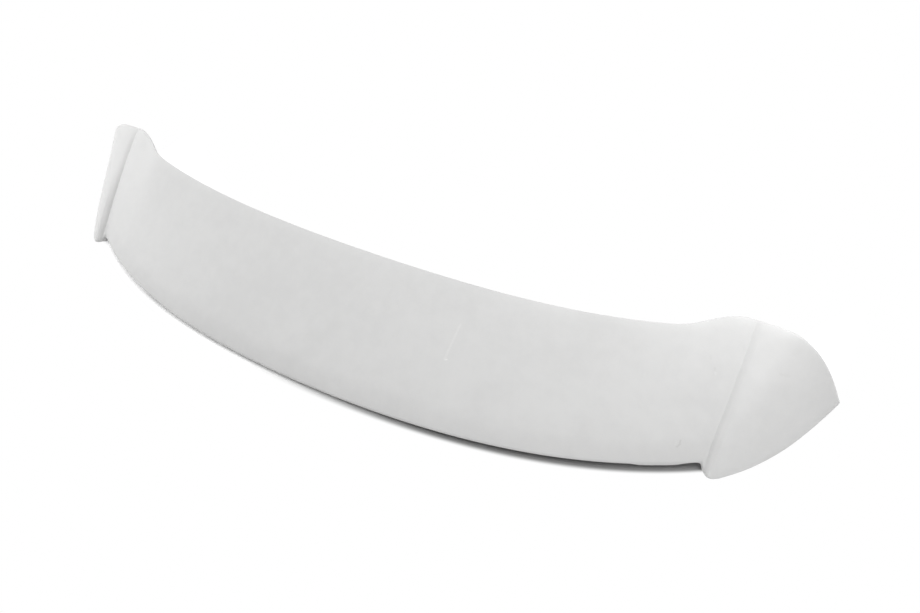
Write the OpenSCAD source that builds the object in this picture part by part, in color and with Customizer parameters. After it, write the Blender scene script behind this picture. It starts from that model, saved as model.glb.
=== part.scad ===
// Rear roof spoiler for a hatchback: one thin-walled moulding.
// A crescent blade runs between two end cheeks, and its open side faces down.
// X runs across the car, Y forward, Z up. The floor is the XY plane and the
// origin is the middle of the moulding's footprint.

/* [Blade] */
// Width of the blade between the two cheeks, along its trailing edge
blade_w = 920; // [760:1:1080]
// Width between the front ends of the two creases
front_w = 927; // [900:0.5:960]
// Depth of the blade on the centre line, seen from above
blade_depth = 161.5; // [135:0.5:190]
// Height of the front edge on the centre line
front_h = 100.5; // [85:0.5:125]
// How far the trailing edge sweeps forward from the middle to a cheek
rear_sweep = 108.5; // [80:0.5:130]
// Share of that sweep that comes only towards the ends
rear_sweep_late = 0.38; // [0.2:0.01:0.6]
// Height of the trailing edge on the centre line
rear_h = 2.8; // [2:0.1:8]
// Height of the trailing edge beside a cheek
rear_end_h = 8.6; // [6:0.1:12]
// How far the front edge sweeps forward from the middle to a cheek
front_sweep = 48.5; // [35:0.5:65]
// Share of that sweep that comes only towards the ends
front_sweep_late = 0.8; // [0.3:0.01:0.9]
// How far the front edge climbs from the middle to a cheek
front_rise = 34; // [20:0.5:45]
// Share of that climb that comes only towards the ends
front_rise_late = 0.21; // [0.1:0.01:0.7]

/* [Section of the blade] */
// Wall thickness of the moulding
wall = 3.5; // [3:0.1:4.5]
// Height of the blade's crown over the straight line from edge to edge
crown = 1.4; // [0:0.1:8]
// Drop of the skin where it rolls down to the trailing edge
rear_roll = 3.8; // [2:0.1:6]
// Share of the blade's depth that the rear roll takes
rear_roll_part = 0.15; // [0.1:0.01:0.25]
// Drop of the skin where it rolls over at the front edge
front_roll = 2.2; // [1:0.1:4]
// Share of the blade's depth that the front roll takes
front_roll_part = 0.1; // [0.06:0.01:0.2]
// Radius of the rounded trailing edge
edge_r = 2.4; // [2:0.1:3]

/* [Horns at the ends of the front edge] */
// How far a horn reaches forward
horn_reach = 14.1; // [8:0.1:22]
// How far a horn lifts the front edge
horn_lift = 3; // [0:0.1:8]
// Where a horn begins, as a share of the half width
horn_start = 0.835; // [0.76:0.005:0.86]
// Where a horn is full, as a share of the half width
horn_full = 0.945; // [0.9:0.005:0.96]
// Fall of the front edge from the horn to the crease
horn_drop = 7.1; // [4:0.1:12]

/* [Cheeks] */
// Width of the sloped step from the blade up to a cheek
step_w = 8.3; // [6:0.1:12]
// Height of that step at the rear, fading to nothing at the front
step_h = 4.4; // [3:0.1:8]
// How sharply the step rises from the crease before it rounds over
step_round = 2.5; // [2:0.1:3]
// How far the blade's skin dips where it meets the crease
crease_dip = 0.4; // [0:0.1:0.8]
// How far the crease bows outward between its ends
crease_bow = 1.7; // [0:0.1:4]
// How far inside the crease the notch in the trailing edge ends
notch_in = 3.5; // [2.5:0.1:7]
// How far a cheek's rounded nose reaches behind the notch
nose_reach = 7.9; // [5:0.1:12]
// Width of the nose at the floor, from the notch to the long lower edge
nose_w = 23.5; // [20:0.5:30]
// How far behind the notch the long lower edge starts
nose_back = 8.2; // [4:0.1:11]
// Height of the blunt rim round the tip of the nose
nose_h = 4.4; // [3:0.1:6]
// How far the lower front corner stands out from the blade
cheek_w = 114.5; // [95:0.5:135]
// Length of a cheek's lower edge, front to rear
cheek_len = 185.5; // [160:0.5:200]
// Outward bow of the lower edge
edge_bow = 12.6; // [4:0.2:16]
// How much of that bow lies towards the rear
edge_bow_rear = 0.39; // [0:0.01:0.6]
// Radius of the lower front corner
corner_r = 5.5; // [4:0.5:8]
// How far a cheek's front edge is hollowed towards the rear
front_hollow = 10.4; // [0:0.2:13]
// Width of the flat land turned inward under a cheek
land_w = 14; // [10:0.5:18]

/* [Fullness of a cheek's section] */
// How long the top stays level at the rear end
top_rear = 1.13; // [0.9:0.01:1.4]
// How long the top stays level at the front end
top_front = 2.79; // [1.8:0.01:2.9]
// How steeply the side meets the floor at the rear end
side_rear = 1.25; // [1.1:0.01:2]
// How steeply the side meets the floor at the front end
side_front = 1.27; // [1.2:0.01:1.8]

/* [Fineness] */
// Stations across half of the blade's plain middle
middle_stations = 25; // [12:1:30]
// Stations across each horn
horn_stations = 13; // [8:1:15]
// Stations across each step
step_stations = 4; // [3:1:5]
// Stations down each cheek
cheek_stations = 13; // [9:1:14]

/* [Hidden] */
half_w = blade_w / 2;
edge_start = edge_r * sqrt(2);
// Width of the dip beside the crease
dip_w = 9;
// Share of the skin's rows that the nose takes behind the first full section
nose_part = 0.1;
// How pointed the nose is seen from above: 1 is a plain arc
nose_round = 1.3;
// How far the rim stands in front of the nose's floor line, as a share of the nose
nose_rim = 0.04;
// Where the crease, the crest and the lower edge meet the nose's floor line
crease_share = 0.26;
crest_share = 0.45;
nose_end = 0.8;
// The notch's corner, across the car and as a share of the half width
notch_x = half_w - notch_in;
notch_u = notch_x / half_w;
// Stations from the notch to the crease, as shares of that gap
notch_stations = [0.2, 0.45, 0.72, 1];
// How closely the stations of the step crowd towards the crease
step_crowding = 1.4;
// Share of the half width without a horn
middle_part = 0.78;
land_columns = 3;
land_draft = 1;
// Most of a cheek's width that the land may take
land_part = 0.45;
// Rise of the inner skin's lowest points over the land, for each column
land_climb = 0.35;
// Width of the land round the nose, as a share of the way to the nose's middle
nose_land = 0.32;

// Rows of the skin from the trailing edge (0) to the front edge (1)
rear_rows = [for (a = [0:22.5:90]) nose_part * (1 - cos(a))];
middle_rows = [0.125, 0.15, 0.19, 0.24, 0.3, 0.37, 0.44, 0.51, 0.58, 0.65, 0.72, 0.785];
front_rows = [0.845, 0.895, 0.935, 0.965, 0.983, 1];
rows = concat(rear_rows, middle_rows, front_rows);

// Stations from the centre line (0) to the crease (1), up the step (2) and
// down the cheek to its lower edge (3)
stations = concat(
    [for (i = [0:middle_stations - 1]) middle_part * i / middle_stations],
    [for (i = [0:horn_stations]) mix(middle_part, notch_u, i / horn_stations)],
    [for (t = notch_stations) mix(notch_u, 1, t)],
    [for (i = [1:step_stations]) 1 + (i / step_stations) ^ step_crowding],
    [for (i = [1:cheek_stations]) 2 + i / cheek_stations]
);
last_station = len(stations) - 1;
last_row = len(rows) - 1;

function mix(a, b, t) = a + (b - a) * t;
function limit(t) = min(1, max(0, t));
function ease(t) = let (c = limit(t)) c * c * (3 - 2 * c);
function unit(p) = p / norm(p);
function sweep(s, late) = mix(s ^ 2, s ^ 4, late);
function hump(t) = 4 * t * (1 - t);

// The two long edges of the blade
function rear_edge(s) = [
    s * half_w,
    rear_sweep * sweep(s, rear_sweep_late),
    mix(rear_h, rear_end_h, s ^ 2)
];
function front_edge(s) =
    let (
        horn = ease((s - horn_start) / (horn_full - horn_start)),
        past_horn = limit((s - horn_full) / (1 - horn_full))
    )
    [
        s * front_w / 2,
        blade_depth + front_sweep * sweep(s, front_sweep_late) + horn_reach * horn,
        front_h + front_rise * sweep(s, front_rise_late) + horn_lift * horn - horn_drop * past_horn ^ 2
    ];

// Height that the crown and the two rolls add to the straight section
function section_lift(v) =
    crown * hump(v)
    + rear_roll * (1 - v - limit(1 - v / rear_roll_part) ^ 2)
    + front_roll * (v - limit(1 - (1 - v) / front_roll_part) ^ 2);

function dip(s, v) = crease_dip * (1 - v) * limit(1 - (1 - s) * half_w / dip_w) ^ 2;
function blade_point(s, v) =
    mix(rear_edge(s) + [0, 0, edge_start], front_edge(s), v)
    + [crease_bow * hump(v) * s ^ 8, 0, section_lift(v) - dip(s, v)];

// The lower edge of a cheek, from behind the notch to the front corner
edge_from = [notch_x + nose_w, rear_sweep - nose_back, 0];
edge_to = [half_w + cheek_w, edge_from.y + cheek_len, 0];
edge_out = unit([edge_to.y - edge_from.y, edge_from.x - edge_to.x, 0]);
corner_part = 1.5 * corner_r / norm(edge_to - edge_from);

function along_cheek(v) = limit((v - nose_part) / (1 - nose_part));
function lower_edge(v) =
    let (
        w = along_cheek(v),
        bow = edge_bow * hump(w) * (1 + edge_bow_rear * (1 - 2 * w)),
        turn = limit(1 - (1 - w) / corner_part)
    )
    mix(edge_from, edge_to, w) + edge_out * (bow - corner_r * (1 - sqrt(1 - turn ^ 2)));

// A cheek's section: up the step from the crease, then over and down
function crest(v) = blade_point(1, v) + [step_w, 0, step_h * (1 - v)];
function step_point(t, v) =
    blade_point(1, v) + [step_w * t, 0, step_h * (1 - v) * (1 - (1 - t) ^ step_round)];
function side_point(t, v) =
    let (
        w = along_cheek(v),
        top = crest(v),
        low = lower_edge(v),
        out = abs(sin(90 * t)) ^ (2 / mix(top_rear, top_front, w)),
        up = abs(cos(90 * t)) ^ (2 / mix(side_rear, side_front, w))
    )
    [
        mix(top.x, low.x, out),
        mix(top.y, low.y, mix(out, t, w)) - front_hollow * w * hump(t),
        mix(low.z, top.z, up)
    ];
function cheek_point(u, v) = u <= 2 ? step_point(u - 1, v) : side_point(u - 2, v);

// The floor line of the nose, from the notch (0) round to the lower edge (1)
function nose_line(q) = [
    mix(notch_x, edge_from.x, q),
    mix(rear_edge(notch_u).y, edge_from.y, q) - nose_reach * sin(180 * q) ^ nose_round,
    0
];
function nose_share(u) =
    u <= 1 ? crease_share * (u - notch_u) / (1 - notch_u)
    : u <= 2 ? mix(crease_share, crest_share, u - 1)
    : mix(crest_share, nose_end, u - 2);

// Height of the nose's rim, from the trailing edge down to the tip and the floor
function rim_height(u) =
    u <= 1
        ? mix(rear_edge(notch_u).z + edge_start, nose_h, ease((u - notch_u) / (1 - notch_u)))
        : nose_h * (u <= 2 ? 1 : abs(cos(90 * (u - 2))) ^ (2 / side_rear));

// Behind the first full section the skin runs on down to the rim of the nose
function nose_point(u, v) =
    let (
        foot = nose_line(nose_share(u)),
        full = u <= 1 ? blade_point(u, nose_part) : cheek_point(u, nose_part),
        t = v / nose_part,
        roll = section_lift(v) - section_lift(nose_part) * t,
        w = mix(nose_rim, 1, t)
    )
    [
        mix(foot.x, full.x, w),
        mix(foot.y, full.y, w),
        mix(rim_height(u), full.z, t) + roll * rim_height(u) / (rear_end_h + edge_start)
    ];

function skin_point(u, v) =
    u > notch_u && v < nose_part ? nose_point(u, v)
    : u <= 1 ? blade_point(u, v)
    : cheek_point(u, v);

outer = [for (u = stations) [for (v = rows) skin_point(u, v)]];

// The inner skin lies one wall thickness inside the outer one
function clamp_station(i) = min(last_station, max(0, i));
function clamp_row(i) = min(last_row, max(0, i));
function normal_at(i, k) =
    let (
        before = i == 0 ? [-1, 1, 1] : [1, 1, 1],
        left = outer[i == 0 ? 1 : i - 1][k],
        across = outer[clamp_station(i + 1)][k] - [for (a = [0:2]) left[a] * before[a]],
        along = outer[i][clamp_row(k + 1)] - outer[i][clamp_row(k - 1)]
    )
    unit(cross(across, along));

// The last columns of the inner skin form the flat land under the cheek
function land_point(column, v) =
    let (
        low = lower_edge(v),
        top = crest(v),
        inward = unit([top.x - low.x, top.y - low.y, 0]),
        width = min(land_w, land_part * (low.x - blade_point(1, v).x)),
        inset = [wall + 1, width, width - land_draft]
    )
    low + inward * inset[column - 1] + [0, 0, column == land_columns ? 0 : wall];

function inner_point(i, k) =
    let (
        left = last_station - i,
        moved = outer[i][k] - wall * normal_at(i, k),
        floor_gap = wall + land_climb * (left - land_columns + 1)
    )
    left < land_columns
        ? land_point(land_columns - left, rows[k])
        : [moved.x, moved.y, max(moved.z, floor_gap)];

first_inner = 4;

// The rounded trailing edge and its return lip, from the lip's end to the skin
function edge_under(s) =
    let (
        corner = rear_edge(s),
        centre = corner + [0, edge_r, edge_r] / sqrt(2),
        lip_end = blade_point(s, nose_part).y
    )
    concat(
        [[corner.x, lip_end, centre.z - edge_r]],
        [for (a = [270:-45:180]) centre + edge_r * [0, cos(a), sin(a)]]
    );
function edge_inside(s, first) =
    let (
        corner = rear_edge(s),
        lip_end = blade_point(s, nose_part).y,
        lip_top = corner.z + edge_r / sqrt(2) - edge_r + wall,
        fillet = [corner.x, corner.y + 2 * wall, lip_top + 0.7 * wall]
    )
    [
        [corner.x, lip_end, lip_top],
        [corner.x, mix(fillet.y, lip_end, 0.4), lip_top],
        fillet,
        mix(fillet, first, 0.5)
    ];

// Inside the nose a sloped wall closes the cheek down to the land
nose_middle = [(notch_x + edge_from.x) / 2, rear_edge(notch_u).y + nose_w / 2, 0];
function nose_inside(first, inner_foot) = [for (a = [0:3]) mix(inner_foot, first, a / 4)];
function nose_under(foot, inner_foot, height) = concat(
    [for (a = [0, 0.5, 0.94]) mix(inner_foot, foot, a)],
    [foot + [0, 0, height / 2]]
);

// One closed ring of the wall at a station, outer side first
function ring(i) =
    let (
        u = stations[i],
        first = inner_point(i, first_inner),
        is_blade = u <= notch_u,
        foot = nose_line(nose_share(u)),
        inner_foot = mix(foot, nose_middle, nose_land),
        inside = is_blade ? edge_inside(u, first) : nose_inside(first, inner_foot),
        under = is_blade ? edge_under(u) : nose_under(foot, inner_foot, rim_height(u))
    )
    concat(
        under,
        outer[i],
        [for (k = [last_row:-2:first_inner]) inner_point(i, k)],
        [for (k = [3:-1:is_blade ? 0 : 1]) inside[k]],
        is_blade ? [] : [mix(inside[0], inside[1], 0.4)]
    );

ring_size = len(ring(0));
outer_size = last_row + 5;
footprint_middle = (lower_edge(1).y - edge_r * (1 - 1 / sqrt(2))) / 2;

// Flat faces that close the two ends of the loft, in pairs of outer rows
function end_faces(start) = [
    for (k = [0:(outer_size - 3) / 2])
        let (o = 2 * k, n = ring_size - 1 - k)
        each [
            [start + o, start + o + 1, start + n],
            [start + o + 1, start + n - 1, start + n],
            [start + o + 1, start + o + 2, start + n - 1]
        ]
];
function flip(faces) = [for (f = faces) [f[0], f[2], f[1]]];

// Closed skin over a row of rings, each with the same number of points
module loft(rings) {
    points = [for (r = rings) each r];
    sides = [
        for (i = [0:len(rings) - 2], k = [0:ring_size - 1])
            let (
                a = i * ring_size + k,
                b = i * ring_size + (k + 1) % ring_size
            )
            each [[a, b, b + ring_size], [a, b + ring_size, a + ring_size]]
    ];
    polyhedron(points, concat(
        sides,
        flip(end_faces(0)),
        end_faces((len(rings) - 1) * ring_size)
    ));
}

module spoiler() {
    half = [for (i = [0:last_station]) ring(i)];
    mirrored = [
        for (i = [last_station:-1:1])
            [for (p = half[i]) [-p.x, p.y, p.z]]
    ];
    color([0.86, 0.86, 0.85])
        translate([0, -footprint_middle, 0])
            loft(concat(mirrored, half));
}

spoiler();
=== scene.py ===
import math

import bmesh
import bpy
from mathutils import Matrix, Vector
from mathutils.bvhtree import BVHTree


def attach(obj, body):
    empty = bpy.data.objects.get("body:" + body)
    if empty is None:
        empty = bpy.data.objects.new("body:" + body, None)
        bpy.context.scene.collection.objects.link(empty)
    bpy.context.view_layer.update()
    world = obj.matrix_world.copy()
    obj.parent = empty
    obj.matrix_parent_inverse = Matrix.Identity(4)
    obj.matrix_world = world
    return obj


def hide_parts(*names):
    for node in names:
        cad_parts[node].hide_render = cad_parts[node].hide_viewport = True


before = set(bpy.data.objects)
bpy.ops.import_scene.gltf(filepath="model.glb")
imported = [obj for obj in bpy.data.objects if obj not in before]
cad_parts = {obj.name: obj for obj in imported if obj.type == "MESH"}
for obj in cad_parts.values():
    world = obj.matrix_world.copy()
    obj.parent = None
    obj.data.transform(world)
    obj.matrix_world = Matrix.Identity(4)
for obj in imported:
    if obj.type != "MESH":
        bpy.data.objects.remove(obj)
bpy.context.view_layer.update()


# small helpers for node trees

def newMaterial(name):
    mat = bpy.data.materials.new(name)
    mat.use_nodes = True
    tree = mat.node_tree
    tree.nodes.clear()
    return mat, tree


def plug(tree, socket, value):
    if isinstance(value, bpy.types.NodeSocket):
        tree.links.new(value, socket)
    else:
        socket.default_value = value


def addNode(tree, kind, **inputs):
    node = tree.nodes.new(kind)
    for key, value in inputs.items():
        plug(tree, node.inputs[key.replace("_", " ")], value)
    return node


def maths(tree, operation, *values, clamp=False):
    node = tree.nodes.new("ShaderNodeMath")
    node.operation = operation
    node.use_clamp = clamp
    for socket, value in zip(node.inputs, values):
        plug(tree, socket, value)
    return node.outputs[0]


def vectorMaths(tree, operation, *values, scale=None):
    node = tree.nodes.new("ShaderNodeVectorMath")
    node.operation = operation
    for socket, value in zip(node.inputs, values):
        plug(tree, socket, value)
    if scale is not None:
        plug(tree, node.inputs["Scale"], scale)
    return node.outputs["Value" if operation in ("LENGTH", "DOT_PRODUCT") else "Vector"]


def noise(tree, where, scale, detail=2.0, roughness=0.5, distortion=0.0):
    node = addNode(
        tree, "ShaderNodeTexNoise",
        Vector=where, Scale=scale, Detail=detail, Roughness=roughness, Distortion=distortion,
    )
    return node.outputs["Fac"]


def parts(tree, vector):
    return addNode(tree, "ShaderNodeSeparateXYZ", Vector=vector).outputs


def stretch(tree, value, low, high, newLow=0.0, newHigh=1.0):
    node = tree.nodes.new("ShaderNodeMapRange")
    node.interpolation_type = "SMOOTHSTEP"
    for socket, v in zip(node.inputs, (value, low, high, newLow, newHigh)):
        plug(tree, socket, v)
    return node.outputs[0]


def blend(tree, share, first, second):
    node = tree.nodes.new("ShaderNodeMix")
    node.data_type = "RGBA"
    plug(tree, node.inputs[0], share)
    plug(tree, node.inputs[6], first)       # the two colour sockets and the colour result
    plug(tree, node.inputs[7], second)
    return node.outputs[2]


def mixShaders(tree, share, first, second):
    mix = addNode(tree, "ShaderNodeMixShader", Fac=share)
    tree.links.new(first.outputs[0], mix.inputs[1])
    tree.links.new(second.outputs[0], mix.inputs[2])
    return mix


def forCamera(tree, others, camera):
    isCamera = addNode(tree, "ShaderNodeLightPath").outputs["Is Camera Ray"]
    return mixShaders(tree, isCamera, others, camera)


# the moulding: the frame's facets become one smooth skin

moulding = {
    "weld": 0.00001,        # metres, joins the corners that the frame keeps apart
    "pairAngle": 75.0,      # degrees, neighbours in one strip under this become a four-sided face
    "flatAngle": 5.0,       # degrees, for the few faces left on the floor
    "smoothLevels": 2,      # subdivision of the skin
    "wall": 0.0035,         # metres, thickness of the laminate
    "thinnest": 0.6,        # share of the wall under which an inner corner is set back
    "bladeHalf": 0.44,      # metres, half the blade, where corners may be set back
    "upward": 0.1,          # a face whose normal rises more than this is outer skin
    "aboveFloor": 0.007,    # metres, corners lower than this stay
    "castFrom": 1.0,        # metres, well above the moulding
    "slot": "gelcoat",
}


def settleInnerSkin(bm, spec):
    # along the middle of the trailing edge the frame's inner skin crosses the outer one,
    # so corners too near the outer skin go back to one wall under it; this also catches
    # corners of the rounded front rim and beside the notches, which should have stayed
    upper = [face for face in bm.faces if face.normal.z > spec["upward"]]
    corners = [vert.co.copy() for vert in bm.verts]
    tree = BVHTree.FromPolygons(corners, [[vert.index for vert in face.verts] for face in upper])
    settled = 0
    for vert in bm.verts:
        if vert.normal.z > 0 or abs(vert.co.x) > spec["bladeHalf"]:
            continue
        above = Vector((vert.co.x, vert.co.y, spec["castFrom"]))
        place, normal, _, _ = tree.ray_cast(above, Vector((0, 0, -1)))
        if place is None:
            continue
        drop = spec["wall"] / normal.z
        tooNear = place.z - vert.co.z < drop * spec["thinnest"]
        if tooNear and vert.co.z > spec["aboveFloor"]:
            vert.co.z = place.z - drop
            settled += 1
    print("inner skin:", settled, "corners set back")


def joinPairs(bm, limit):
    # the loft writes its faces two by two, so each pair is one patch of the skin
    faces = list(bm.faces)
    diagonals = []
    for first, second in zip(faces[0::2], faces[1::2]):
        shared = [edge for edge in first.edges if second in edge.link_faces]
        if len(shared) == 1 and first.normal.angle(second.normal, 0.0) < limit:
            diagonals.append(shared[0])
    bmesh.ops.dissolve_edges(bm, edges=diagonals, use_verts=False)


def makeMoulding(spec):
    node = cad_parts["spoiler"]
    mesh = node.data.copy()
    mesh.name = "spoilerSkin"
    bm = bmesh.new()
    bm.from_mesh(mesh)
    order = bm.faces.layers.int.new("order")
    for i, face in enumerate(bm.faces):
        face[order] = i
    bmesh.ops.remove_doubles(bm, verts=bm.verts, dist=spec["weld"])
    bm.faces.sort(key=lambda face: face[order])
    bm.faces.ensure_lookup_table()
    bm.normal_update()
    bm.verts.index_update()
    settleInnerSkin(bm, spec)
    joinPairs(bm, math.radians(spec["pairAngle"]))
    bmesh.ops.join_triangles(
        bm,
        faces=[face for face in bm.faces if len(face.verts) == 3],
        angle_face_threshold=math.radians(spec["flatAngle"]),
        angle_shape_threshold=math.radians(180),
    )
    bm.faces.layers.int.remove(order)
    bmesh.ops.recalc_face_normals(bm, faces=bm.faces)
    for face in bm.faces:
        face.smooth = True
    left = sum(len(face.verts) == 3 for face in bm.faces)
    print("moulding:", len(bm.faces), "faces,", left, "of them triangles")
    bm.to_mesh(mesh)
    bm.free()
    mesh.materials.clear()
    piece = bpy.data.objects.new("spoilerSkin", mesh)
    bpy.context.scene.collection.objects.link(piece)
    subdivide = piece.modifiers.new("smooth", "SUBSURF")
    subdivide.levels = spec["smoothLevels"]
    subdivide.render_levels = spec["smoothLevels"]
    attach(piece, "root")
    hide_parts("spoiler")
    return piece


# the raw gelcoat: pale grey, satin, with the faint marks of handling

gelcoat = {
    "paleColour": (0.640, 0.640, 0.636, 1.0),
    "greyColour": (0.600, 0.600, 0.597, 1.0),
    "greyToPale": (0.3, 0.7),
    "cloudScale": 9.0,          # patches of about 10 cm
    "cloudShare": 0.6,
    "mottleScale": 60.0,        # patches of about 15 mm
    "mottleShare": 0.4,
    "speckleScale": 1400.0,     # pigment grains under 1 mm
    "speckleShare": 0.3,
    # painted highlight: the convex rims are coloured paler, where light catches them
    "rimHighlightColour": (0.72, 0.72, 0.715, 1.0),
    "rimHighlightShare": 0.35,
    "edgeCurve": (0.52, 0.60),      # pointiness from which a rim gets a painted highlight
    "edgeRagged": 0.02,
    # painted shade: the hollows beside each step are coloured darker, where shade falls in them
    "hollowShadeColour": (0.47, 0.465, 0.455, 1.0),
    "hollowShadeShare": 0.25,
    "hollowShadeCurve": (0.495, 0.46),     # pointiness below which a hollow gets painted shade
    "hollowShadePatches": (0.3, 0.6),
    "roughness": 0.46,
    "roughnessSpread": 0.12,
    "hollowRoughness": 0.4,
    "rimPolish": 0.08,
    "peelScale": 260.0,         # orange peel, waves of about 4 mm
    "peelHeight": 0.00002,      # metres, as the other heights
    "sandingScale": (900.0, 40.0, 40.0),
    "sandingHeight": 0.000004,
    "markDepth": 0.000004,
    "markWobbleScale": 420.0,
    "markWobble": 0.0022,       # metres, how far a mark's outline wanders
    "markGrain": (0.25, 0.6),
}

# places on the skin, metres; width and softness in metres too
marks = {
    "scratch": {
        "path": [(0.1481, -0.0289, 0.0775), (0.1479, -0.0484, 0.0657), (0.1482, -0.0687, 0.0533)],
        "width": 0.0006, "soft": 0.0016, "colour": (0.76, 0.76, 0.755, 1.0), "share": 0.32,
    },
    "scratchEnd": {
        "path": [(0.1495, -0.0683, 0.0535), (0.1508, -0.0679, 0.0537)],
        "width": 0.0006, "soft": 0.0010, "colour": (0.92, 0.92, 0.91, 1.0), "share": 0.42,
    },
    "scuff": {
        "path": [(0.4301, -0.0379, 0.0312), (0.4304, -0.0408, 0.0277), (0.4284, -0.0436, 0.0251)],
        "width": 0.0003, "soft": 0.0011, "colour": (0.30, 0.295, 0.285, 1.0), "share": 0.26,
    },
    "scuffRim": {
        "path": [(0.4262, -0.0408, 0.0297), (0.4266, -0.0430, 0.0275)],
        "width": 0.0005, "soft": 0.0012, "colour": (0.70, 0.70, 0.69, 1.0), "share": 0.2,
    },
    "nickByCrease": {
        "path": [(0.4387, 0.0258, 0.0914), (0.4392, 0.0247, 0.0904)],
        "width": 0.0006, "soft": 0.0014, "colour": (0.42, 0.415, 0.405, 1.0), "share": 0.18,
    },
    "rubUnderNick": {
        "path": [(0.4410, 0.0230, 0.0878), (0.4418, 0.0220, 0.0866)],
        "width": 0.0005, "soft": 0.0013, "colour": (0.74, 0.74, 0.735, 1.0), "share": 0.3,
    },
    "rubOnBlade": {
        "path": [(0.4302, 0.0322, 0.1003), (0.4318, 0.0306, 0.0987)],
        "width": 0.0005, "soft": 0.0015, "colour": (0.48, 0.475, 0.465, 1.0), "share": 0.18,
    },
    "rubOnCheek": {
        "path": [(0.5045, 0.0507, 0.0906), (0.5136, 0.0561, 0.0870)],
        "width": 0.0006, "soft": 0.0022, "colour": (0.46, 0.455, 0.445, 1.0), "share": 0.16,
    },
}


def streak(tree, where, path, width, soft):
    # one along a broken line on the skin, fading to nothing beyond its width
    nearest = None
    for start, end in zip(path, path[1:]):
        along = Vector(end) - Vector(start)
        fromStart = vectorMaths(tree, "SUBTRACT", where, start)
        covered = vectorMaths(tree, "DOT_PRODUCT", fromStart, tuple(along))
        part = maths(tree, "MULTIPLY", covered, 1 / along.length_squared, clamp=True)
        foot = vectorMaths(tree, "SCALE", tuple(along), scale=part)
        gap = vectorMaths(tree, "LENGTH", vectorMaths(tree, "SUBTRACT", fromStart, foot))
        nearest = gap if nearest is None else maths(tree, "MINIMUM", nearest, gap)
    return stretch(tree, nearest, width, width + soft, 1.0, 0.0)


def makeGelcoat(spec, places):
    mat, tree = newMaterial("gelcoat")
    where = addNode(tree, "ShaderNodeTexCoord").outputs["Object"]
    curve = addNode(tree, "ShaderNodeNewGeometry").outputs["Pointiness"]

    cloud = noise(tree, where, spec["cloudScale"], 3.0, 0.55, 0.4)
    mottle = noise(tree, where, spec["mottleScale"], 4.0, 0.6)
    speckle = noise(tree, where, spec["speckleScale"], 1.0)
    broad = maths(tree, "MULTIPLY", cloud, spec["cloudShare"])
    mix = maths(tree, "ADD", broad, maths(tree, "MULTIPLY", mottle, spec["mottleShare"]))
    grains = maths(tree, "MULTIPLY", maths(tree, "SUBTRACT", speckle, 0.5), spec["speckleShare"])
    mix = stretch(tree, maths(tree, "ADD", mix, grains), *spec["greyToPale"])
    colour = blend(tree, mix, spec["greyColour"], spec["paleColour"])

    # painted highlight along the convex rims, painted shade in the hollow beside each step
    ragged = maths(tree, "ADD", curve, maths(tree, "MULTIPLY", mottle, spec["edgeRagged"]))
    rim = stretch(tree, ragged, *spec["edgeCurve"])
    paintedHighlight = maths(tree, "MULTIPLY", rim, spec["rimHighlightShare"])
    colour = blend(tree, paintedHighlight, colour, spec["rimHighlightColour"])
    hollow = stretch(tree, curve, *spec["hollowShadeCurve"])
    patches = stretch(tree, mottle, *spec["hollowShadePatches"])
    hollowShade = maths(tree, "MULTIPLY", hollow, maths(tree, "MULTIPLY", patches, spec["hollowShadeShare"]))
    colour = blend(tree, hollowShade, colour, spec["hollowShadeColour"])

    # handling marks, moved about by fine noise so none has a clean outline
    wobble = addNode(
        tree, "ShaderNodeTexNoise", Vector=where, Scale=spec["markWobbleScale"], Detail=2.0,
    ).outputs["Color"]
    centred = vectorMaths(tree, "SUBTRACT", wobble, (0.5, 0.5, 0.5))
    shift = vectorMaths(tree, "SCALE", centred, scale=spec["markWobble"])
    moved = vectorMaths(tree, "ADD", where, shift)
    worn = None
    for mark in places.values():
        mask = streak(tree, moved, mark["path"], mark["width"], mark["soft"])
        mask = maths(tree, "MULTIPLY", mask, stretch(tree, speckle, *spec["markGrain"]))
        share = maths(tree, "MULTIPLY", mask, mark["share"])
        colour = blend(tree, share, colour, mark["colour"])
        worn = mask if worn is None else maths(tree, "MAXIMUM", worn, mask)

    # satin, a little rougher in the hollows with painted shade and smoother on the rims
    cloudy = maths(tree, "SUBTRACT", cloud, 0.5)
    spread = maths(tree, "MULTIPLY", cloudy, spec["roughnessSpread"] * 2)
    mottled = maths(tree, "SUBTRACT", mottle, 0.5)
    fine = maths(tree, "MULTIPLY", mottled, spec["roughnessSpread"])
    rough = maths(tree, "ADD", maths(tree, "ADD", spread, fine), spec["roughness"])
    rough = maths(tree, "ADD", rough, maths(tree, "MULTIPLY", hollowShade, spec["hollowRoughness"]))
    polish = maths(tree, "MULTIPLY", rim, spec["rimPolish"])
    rough = maths(tree, "SUBTRACT", rough, polish, clamp=True)

    peel = noise(tree, where, spec["peelScale"], 2.0, 0.45)
    drawn = vectorMaths(tree, "MULTIPLY", where, spec["sandingScale"])
    sanded = noise(tree, drawn, 1.0, 2.0)
    height = maths(tree, "MULTIPLY", peel, spec["peelHeight"])
    height = maths(tree, "ADD", height, maths(tree, "MULTIPLY", sanded, spec["sandingHeight"]))
    height = maths(tree, "SUBTRACT", height, maths(tree, "MULTIPLY", worn, spec["markDepth"]))
    bump = addNode(tree, "ShaderNodeBump", Strength=1.0, Distance=1.0, Height=height)

    shader = addNode(
        tree, "ShaderNodeBsdfPrincipled",
        Base_Color=colour, Roughness=rough, Normal=bump.outputs["Normal"],
    )
    out = addNode(tree, "ShaderNodeOutputMaterial")
    tree.links.new(shader.outputs["BSDF"], out.inputs["Surface"])
    print("gelcoat:", len(tree.nodes), "nodes,", len(places), "marks")
    return mat


# floor, light and camera

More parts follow.
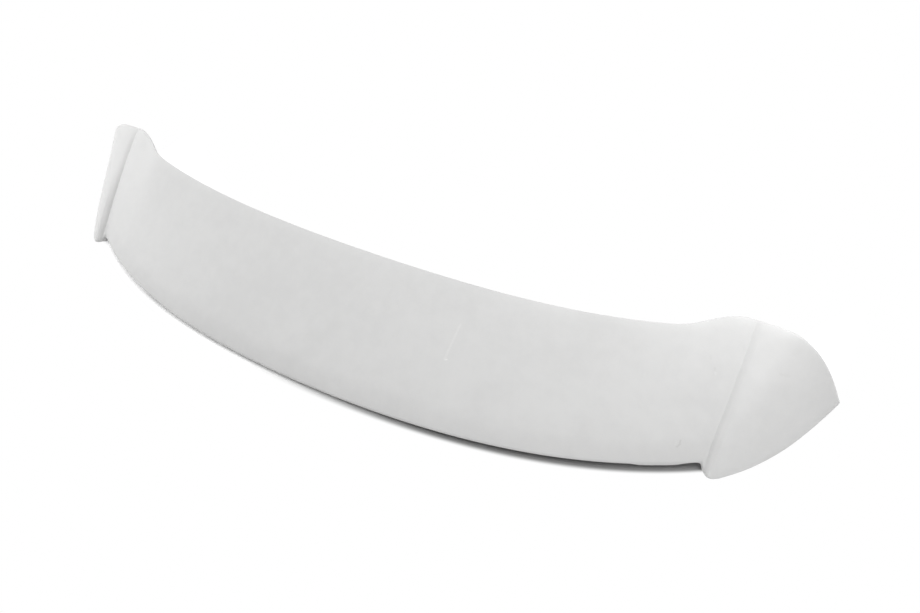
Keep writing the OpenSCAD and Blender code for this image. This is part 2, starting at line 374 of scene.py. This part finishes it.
studio = {
    "floorSize": 30.0,
    "floorColour": (0.9, 0.9, 0.9, 1.0),        # the floor as it lights the moulding
    "seenColour": (1.1, 1.1, 1.1, 1.0),         # the floor beside it as the camera sees it
    "paintedShadowColour": (0.22, 0.22, 0.22, 1.0),       # and a painted shadow close to the trailing edge, on the right
    "white": (1.0, 1.0, 1.0, 1.0),
    "paintedShadowAcross": (-0.20, 0.20),     # metres, the painted shadow comes in from left to right
    "paintedShadowDepth": (0.050, 0.012),     # metres, and from under the blade to its edge
    "edgeMiddle": -0.1445,      # metres, the trailing edge on the centre line
    "edgeSweep": 0.1085,        # how far it sweeps forward to a cheek
    "edgeHalf": 0.46,           # and over what half width
    "edgeLate": 0.38,           # share of the sweep that comes late
    "noseAt": (0.4835, -0.046),     # metres, where the line under a cheek starts
    "cheekSlope": 2.0,              # and how steeply it runs forward
    "cheekFade": (0.515, 0.572),    # metres across, the band of shadow ends in between
    "shadowFade": (0.0015, 0.0090),     # metres before the edge, the band turns white
    "hiddenFade": (0.16, 0.24),         # metres behind it, the floor turns white again
    "worldStrength": 0.90,
    "lamps": {
        "rightLamp": {
            "place": (0.68, 0.0, 0.70), "aim": (0.0, 0.0, 0.05), "size": 0.5, "watts": 3.9,
        },
        "leftLamp": {
            "place": (-0.77, 0.0, 0.70), "aim": (0.0, 0.0, 0.05), "size": 1.2, "watts": 5.2,
        },
        "sideLamp": {
            "place": (-1.40, -0.22, 0.28), "aim": (-0.5, 0.0, 0.05), "size": 0.8, "watts": 2.8,
        },
    },
}


def besideSpoiler(tree, spec):
    # first: 1 on the floor under the moulding and just before its trailing edge, 0 elsewhere
    # second: 1 where a painted shadow darkens the floor close to the edge on the right
    x, y, _ = parts(tree, addNode(tree, "ShaderNodeNewGeometry").outputs["Position"])
    across = maths(tree, "ABSOLUTE", x)
    square = maths(tree, "POWER", maths(tree, "DIVIDE", across, spec["edgeHalf"]), 2.0)
    fourth = maths(tree, "MULTIPLY", square, square)
    late = spec["edgeSweep"] * spec["edgeLate"]
    early = maths(tree, "MULTIPLY", square, spec["edgeSweep"] - late)
    sweep = maths(tree, "ADD", early, maths(tree, "MULTIPLY", fourth, late))
    edge = maths(tree, "ADD", sweep, spec["edgeMiddle"])
    noseX, noseY = spec["noseAt"]
    outboard = maths(tree, "MULTIPLY", maths(tree, "SUBTRACT", across, noseX), spec["cheekSlope"])
    edge = maths(tree, "MAXIMUM", edge, maths(tree, "ADD", outboard, noseY))
    gap = maths(tree, "SUBTRACT", edge, y)
    before = stretch(tree, gap, *spec["shadowFade"], 1.0, 0.0)
    start, end = spec["hiddenFade"]
    under = stretch(tree, gap, -end, -start)
    within = stretch(tree, across, *spec["cheekFade"], 1.0, 0.0)
    near = maths(tree, "MULTIPLY", maths(tree, "MULTIPLY", before, under), within)
    toRight = stretch(tree, x, *spec["paintedShadowAcross"])
    deep, shallow = spec["paintedShadowDepth"]
    close = stretch(tree, gap, -deep, -shallow)
    return near, maths(tree, "MULTIPLY", toRight, close)


def makeFloor(spec):
    half = spec["floorSize"] / 2
    mesh = bpy.data.meshes.new("floor")
    corners = [(-half, -half, 0), (half, -half, 0), (half, half, 0), (-half, half, 0)]
    mesh.from_pydata(corners, [], [(0, 1, 2, 3)])
    floor = bpy.data.objects.new("floor", mesh)
    bpy.context.scene.collection.objects.link(floor)
    mat, tree = newMaterial("paleFloor")
    plain = addNode(tree, "ShaderNodeBsdfDiffuse", Color=spec["floorColour"])
    near, paintedShadow = besideSpoiler(tree, spec)
    # the floor as the camera sees it takes a painted shadow near the right of the trailing edge
    seenColour = blend(tree, paintedShadow, spec["seenColour"], spec["paintedShadowColour"])
    seen = addNode(tree, "ShaderNodeBsdfDiffuse", Color=seenColour)
    white = addNode(tree, "ShaderNodeEmission", Color=spec["white"], Strength=1.0)
    surface = forCamera(tree, plain, mixShaders(tree, near, white, seen))
    out = addNode(tree, "ShaderNodeOutputMaterial")
    tree.links.new(surface.outputs[0], out.inputs["Surface"])
    mesh.materials.append(mat)


def makeWorld(spec):
    world = bpy.data.worlds.new("studio")
    bpy.context.scene.world = world
    world.use_nodes = True
    tree = world.node_tree
    tree.nodes.clear()
    # soft light from above that fades towards the horizon, and plain white to the camera
    upward = parts(tree, addNode(tree, "ShaderNodeTexCoord").outputs["Generated"])[2]
    strength = maths(tree, "MULTIPLY", maths(tree, "MAXIMUM", upward, 0.0), spec["worldStrength"])
    glow = addNode(tree, "ShaderNodeBackground", Color=spec["white"], Strength=strength)
    white = addNode(tree, "ShaderNodeBackground", Color=spec["white"], Strength=1.0)
    surface = forCamera(tree, glow, white)
    out = addNode(tree, "ShaderNodeOutputWorld")
    tree.links.new(surface.outputs[0], out.inputs["Surface"])


def makeLamps(lamps):
    for name, spec in lamps.items():
        light = bpy.data.lights.new(name, "AREA")
        light.shape = "SQUARE"
        light.size = spec["size"]
        light.energy = spec["watts"]
        lamp = bpy.data.objects.new(name, light)
        bpy.context.scene.collection.objects.link(lamp)
        lamp.location = spec["place"]
        aim = Vector(spec["aim"]) - lamp.location
        lamp.rotation_euler = aim.to_track_quat("-Z", "Y").to_euler()
    print("studio:", len(lamps), "lamps")


camera = {
    "azimuth": 30.375,      # degrees, 0 looks along +Y from behind the car
    "elevation": 40.553,
    "roll": -1.619,
    "distance": 1.15850,        # metres from the target
    "target": (0.109270, 0.037482, 0.040),
    "focalPixels": 900.0,
    "imageWidth": 920,          # pixels
    "sensor": 36.0,             # millimetres
    "clip": (0.05, 100.0),
}


def makeCamera(spec):
    az, el, roll = (math.radians(spec[k]) for k in ("azimuth", "elevation", "roll"))
    back = Vector((math.sin(az) * math.cos(el), -math.cos(az) * math.cos(el), math.sin(el)))
    right = Vector((math.cos(az), math.sin(az), 0.0))
    up = back.cross(right)
    turnedRight = right * math.cos(roll) + up * math.sin(roll)
    turnedUp = up * math.cos(roll) - right * math.sin(roll)
    cam = bpy.data.cameras.new("camera")
    cam.sensor_width = spec["sensor"]
    cam.lens = spec["focalPixels"] * spec["sensor"] / spec["imageWidth"]
    cam.clip_start, cam.clip_end = spec["clip"]
    obj = bpy.data.objects.new("camera", cam)
    bpy.context.scene.collection.objects.link(obj)
    turn = Matrix((turnedRight, turnedUp, back)).transposed()
    place = Vector(spec["target"]) + back * spec["distance"]
    obj.matrix_world = Matrix.Translation(place) @ turn.to_4x4()
    bpy.context.scene.camera = obj


skin = makeMoulding(moulding)
skin.data.materials.append(makeGelcoat(gelcoat, marks))
makeFloor(studio)
makeWorld(studio)
makeLamps(studio["lamps"])
makeCamera(camera)
bpy.context.scene.view_settings.view_transform = "Standard"
print("scene built")
